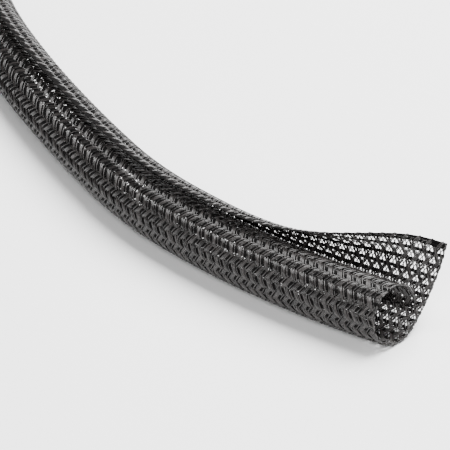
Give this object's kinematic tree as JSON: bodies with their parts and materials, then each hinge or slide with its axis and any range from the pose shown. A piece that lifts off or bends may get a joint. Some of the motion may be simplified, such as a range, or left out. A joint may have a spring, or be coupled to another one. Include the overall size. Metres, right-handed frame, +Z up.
{
  "type": "braided cable sleeve",
  "caption": "Self-closing split braided sleeve of charcoal plastic filament, curled so that it overlaps itself, lying in a bend with one end's outer lap opened out.",
  "frame": {"origin": "on the surface the sleeve lies on, below the middle of its box", "axes": "+Z up; the near, opened end faces +X, the far end faces +Y, and the seam is on top"},
  "size_m": [0.3312, 0.3352, 0.0275],
  "materials": {
    "filament_braid": "charcoal polyester filament, satin, braided to an open mesh"
  },
  "bodies": {
    "root": {"braided_sleeve": "filament_braid"}
  },
  "joints": []
}
